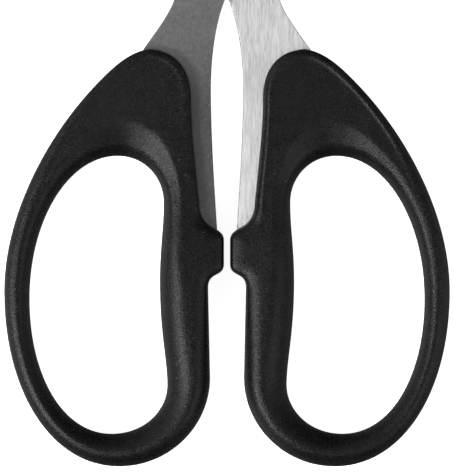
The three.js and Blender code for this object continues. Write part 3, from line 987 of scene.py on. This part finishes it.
# Each light's place from the middle of the picture and its size, in metres, and its power in watts
LIGHTS = {
    "key": ((-0.485, -0.245, 0.56), (0.38, 0.2), 6.2),
    "back": ((-0.45, 0.38, 0.4), (0.6, 0.5), 0.7),
    "fill": ((0.46, -0.24, 0.46), (0.28, 0.28), 1.0),
}
# The surround's grey level from left (0) to right (1)
SIDE_LEVELS = ((0.0, 1.1), (0.1, 0.7), (0.25, 0.3), (0.5, 0.08), (0.75, 0.12), (0.9, 0.22), (1.0, 0.9))
# The share that the overhead panel has in it, from level (0) to straight up (1)
OVERHEAD_SHARES = ((0.7, 0.0), (0.95, 1.0))
OVERHEAD_LEVEL = 0.45
FLOOR_RADIUS = 6000          # millimetres of level floor, before it sweeps up
SWEEP_RADIUS = 8000
SWEEP_TURN = math.pi / 3
SWEEP_POINTS = 12


def area_light(name, place, aim, size, power):
    """A soft light at a place in metres, aimed at a point."""
    data = bpy.data.lights.new(name, "AREA")
    data.shape = "RECTANGLE"
    data.size, data.size_y = size
    data.energy = power
    light = bpy.data.objects.new(name, data)
    light.location = place
    light.rotation_euler = (Vector(aim) - Vector(place)).to_track_quat("-Z", "Y").to_euler()
    light.visible_camera = False
    bpy.context.collection.objects.link(light)


def ramp(tree, source, stops):
    """A grey level along a value, from pairs of position and level."""
    node = tree.nodes.new("ShaderNodeValToRGB")
    node.color_ramp.interpolation = "EASE"
    elements = node.color_ramp.elements
    while len(elements) < len(stops):
        elements.new(0.5)
    for element, (position, level) in zip(elements, stops):
        element.position = position
        element.color = (*grey(level), 1)
    tree.links.new(source, node.inputs["Fac"])
    return node.outputs["Color"]


def surround():
    """A soft surround: a panel overhead, a wide bright side on the left and a narrow one on the right."""
    world = bpy.data.worlds.new("studio")
    world.use_nodes = True
    bpy.context.scene.world = world
    tree = world.node_tree
    background = tree.nodes["Background"]
    direction = tree.nodes.new("ShaderNodeTexCoord")
    parts = tree.nodes.new("ShaderNodeSeparateXYZ")
    tree.links.new(direction.outputs["Generated"], parts.inputs[0])
    sideways = tree.nodes.new("ShaderNodeMapRange")
    sideways.inputs["From Min"].default_value = -1
    tree.links.new(parts.outputs["X"], sideways.inputs["Value"])
    mixer = tree.nodes.new("ShaderNodeMix")
    mixer.data_type = "RGBA"
    tree.links.new(ramp(tree, parts.outputs["Z"], OVERHEAD_SHARES), mixer.inputs["Factor"])
    tree.links.new(ramp(tree, sideways.outputs["Result"], SIDE_LEVELS), mixer.inputs[6])
    mixer.inputs[7].default_value = (*grey(OVERHEAD_LEVEL), 1)
    tree.links.new(mixer.outputs[2], background.inputs["Color"])
    background.inputs["Strength"].default_value = 1.0


def white_floor():
    """A floor that is level under the shears and sweeps up far away."""
    profile = [(0, 0)]
    for bend in np.linspace(0, SWEEP_TURN, SWEEP_POINTS):
        radius = FLOOR_RADIUS + SWEEP_RADIUS * math.sin(bend)
        profile.append((radius, SWEEP_RADIUS * (1 - math.cos(bend))))
    piece = turned("floor", profile, floor_material())
    shade(piece, sharp_degrees=30)
    piece.visible_glossy = False
    return piece


def studio():
    """A soft surround, a key light, weak lights from behind and from the right, and a white floor."""
    surround()
    middle = camera.location.y
    for name, (place, size, power) in LIGHTS.items():
        area_light(name, (place[0], middle + place[1], place[2]), (0, middle, 0), size, power)
    floor = white_floor()
    bpy.context.scene.view_settings.view_transform = "Standard"


# ---- Assembly ----


def stand_for(piece, node, body):
    """The piece takes a CAD node's place on its body."""
    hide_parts(node)
    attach(piece, body)


studio()
plastic = plastic_material()
blade_finishes = (
    satin_steel_material(),
    brushed_steel_material(
        "blade_inner_look", INNER_STEEL, rough=0.45, tangent_axis="Y", along=330, across=4800,
    ),
    brushed_steel_material(
        "blade_ground_look", GROUND_STEEL, rough=0.48, tangent_axis="X", along=4200, across=200,
    ),
)
screw_steel = turned_steel_material("screw_steel_look", SCREW_STEEL, rough=0.26)
spring_steel = turned_steel_material("spring_steel_look", SPRING_STEEL, rough=0.34)
grid = bow_points()

handle_left = bow("handle_left_look", grid, plastic)
handle_right = bow("handle_right_look", grid, plastic, rear=True)
blade_front = blade("blade_front_look", blade_finishes)
blade_rear = blade("blade_rear_look", blade_finishes, rear=True)
screw = pivot_screw(screw_steel)
head_washer = washer("head_washer_look", "head_washer", screw_steel)
bearing_washer = washer("bearing_washer_look", "bearing_washer", nylon_material())
spring_washer = washer("spring_washer_look", "spring_washer", spring_steel, cone=SPRING_CONE)
nut = pivot_nut(screw_steel)

stand_for(handle_left, "handle_left", "front_half")
stand_for(handle_right, "handle_right", "rear_half")
stand_for(blade_front, "blade_front", "front_half")
stand_for(blade_rear, "blade_rear", "rear_half")
stand_for(screw, "pivot_screw", "front_half")
stand_for(head_washer, "head_washer", "front_half")
stand_for(bearing_washer, "bearing_washer", "front_half")
stand_for(spring_washer, "spring_washer", "front_half")
stand_for(nut, "pivot_nut", "front_half")
